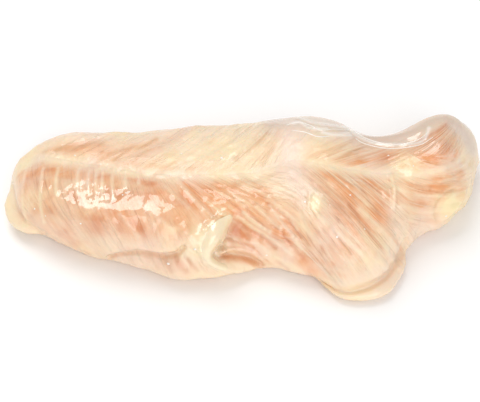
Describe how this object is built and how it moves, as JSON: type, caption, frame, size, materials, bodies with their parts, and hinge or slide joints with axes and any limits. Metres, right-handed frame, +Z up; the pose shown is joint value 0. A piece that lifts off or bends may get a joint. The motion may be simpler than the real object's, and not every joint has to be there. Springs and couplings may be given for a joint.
{
  "type": "chicken tenderloin",
  "caption": "Raw chicken tenderloin coated in thin cream marinade, a long lobed muscle lying on its flat side, with a tendon seam and a torn leaf of skin.",
  "frame": {"origin": "middle of the footprint's bounding box, at the height of the surface it lies on", "axes": "+Z up, +X along the muscle towards the raised lobe end, +Y towards the back edge, so the fibred face looks along -Y and up"},
  "size_m": [0.1278, 0.0546, 0.022],
  "materials": {
    "meat": "gloss"
  },
  "bodies": {
    "root": {"tenderloin": "meat"}
  },
  "joints": []
}
